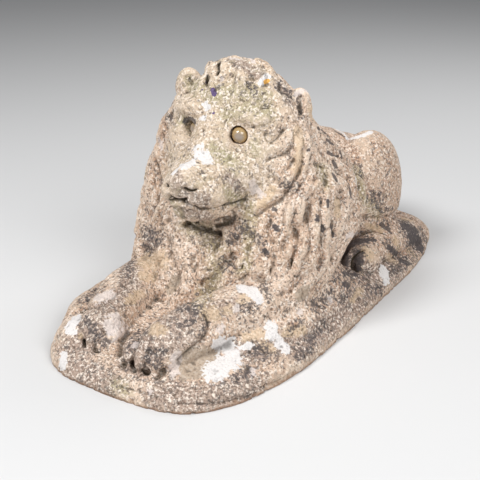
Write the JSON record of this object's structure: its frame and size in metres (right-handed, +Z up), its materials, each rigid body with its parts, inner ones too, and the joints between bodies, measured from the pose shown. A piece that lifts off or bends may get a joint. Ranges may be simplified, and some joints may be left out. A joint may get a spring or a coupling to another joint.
{
  "type": "stone lion garden ornament",
  "caption": "Weathered stone lion lying on a low rounded base carved from the same block, forelegs stretched out, long waved mane and inset amber glass eyes.",
  "frame": {"origin": "middle of the flat underside of the base", "axes": "+Z up, the lion faces -Y, +X is the lion's left side"},
  "size_m": [0.379, 0.7991, 0.378],
  "materials": {
    "weathered_stone": "rough weathered stone with lichen",
    "amber_glass": "polished amber glass"
  },
  "bodies": {
    "root": {"stone_lion": "weathered_stone", "left_eye": "amber_glass", "right_eye": "amber_glass"}
  },
  "joints": []
}
